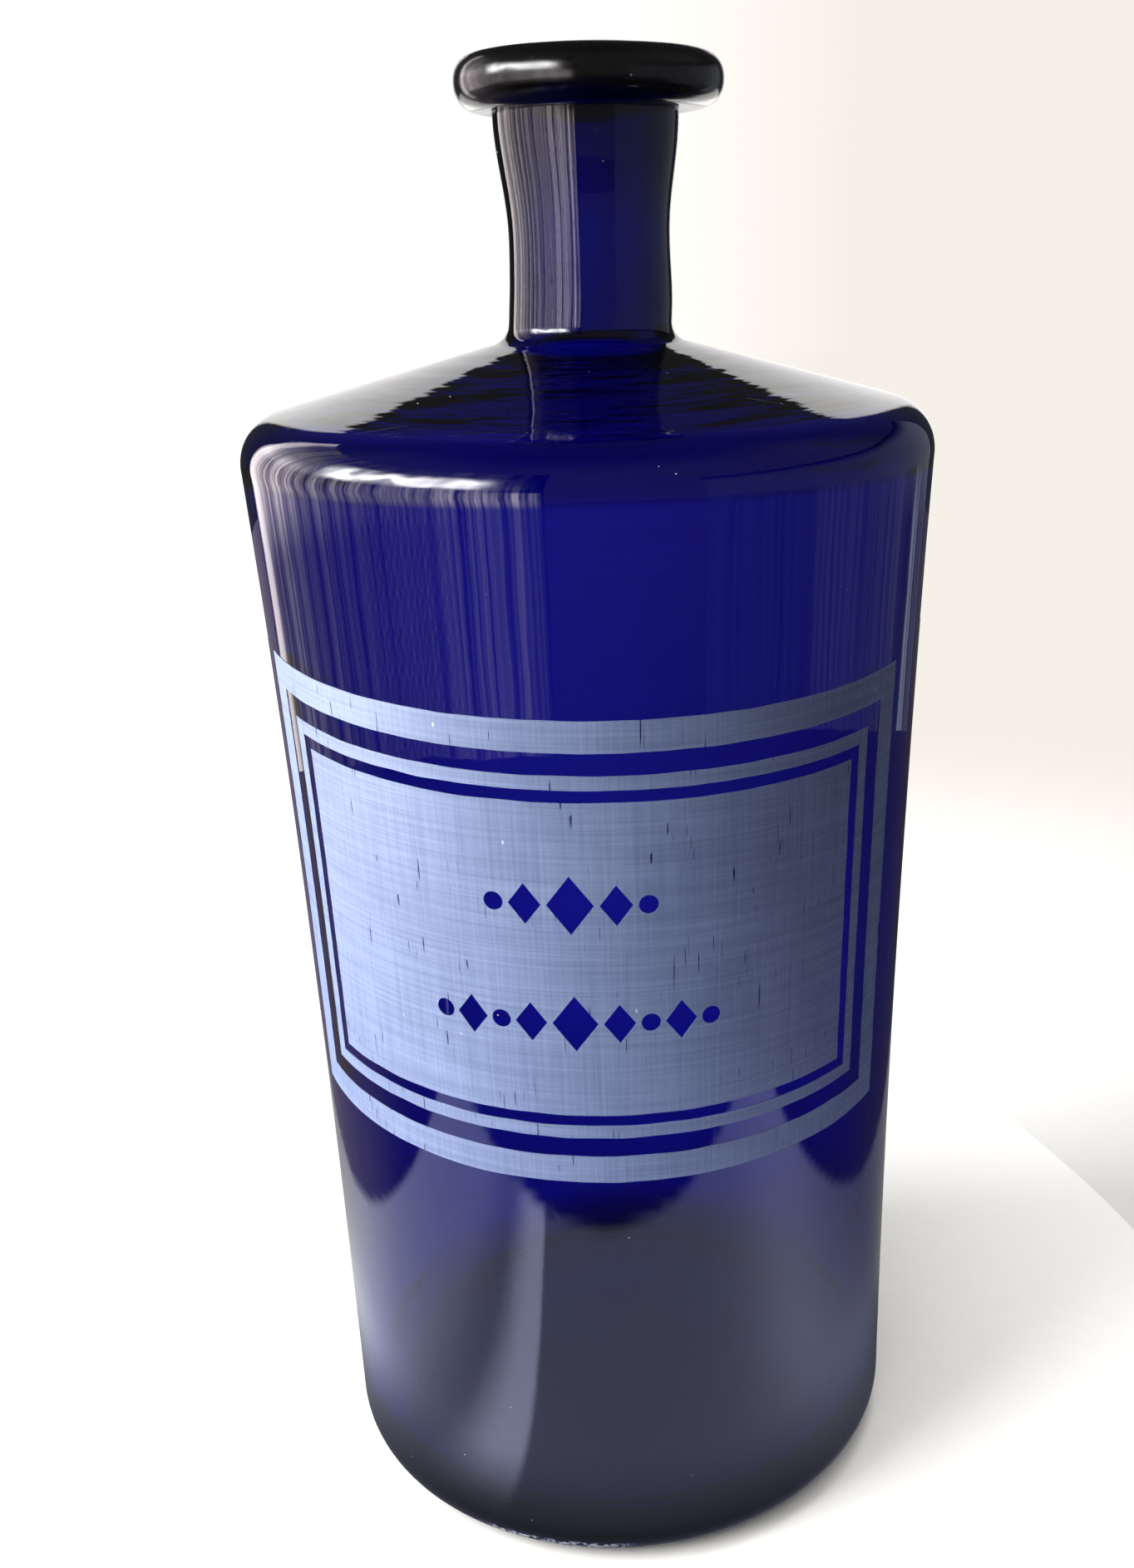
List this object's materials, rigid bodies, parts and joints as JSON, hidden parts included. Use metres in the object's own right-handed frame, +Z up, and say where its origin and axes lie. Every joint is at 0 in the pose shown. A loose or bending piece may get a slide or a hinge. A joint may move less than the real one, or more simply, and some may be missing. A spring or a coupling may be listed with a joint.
{
  "type": "glass storage bottle",
  "caption": "Tall round blown-glass storage bottle with a conical shoulder, narrow neck, thick disc lip and a frosted rectangular label field wrapped round the front.",
  "frame": {"origin": "centre of the foot, on the surface the bottle stands on", "axes": "+Z up along the bottle's axis, -Y out of the middle of the label"},
  "size_m": [0.1424, 0.1424, 0.313],
  "materials": {
    "blue_glass": "glossy cobalt blue glass",
    "lip_glass": "glossy cobalt blue glass, thick and nearly black",
    "frosted_label": "satin frosted glass with a fine brushed grain"
  },
  "bodies": {
    "root": {"vessel": "blue_glass", "lip": "lip_glass", "label_border": "frosted_label", "label_line": "frosted_label", "label_panel": "frosted_label"}
  },
  "joints": []
}
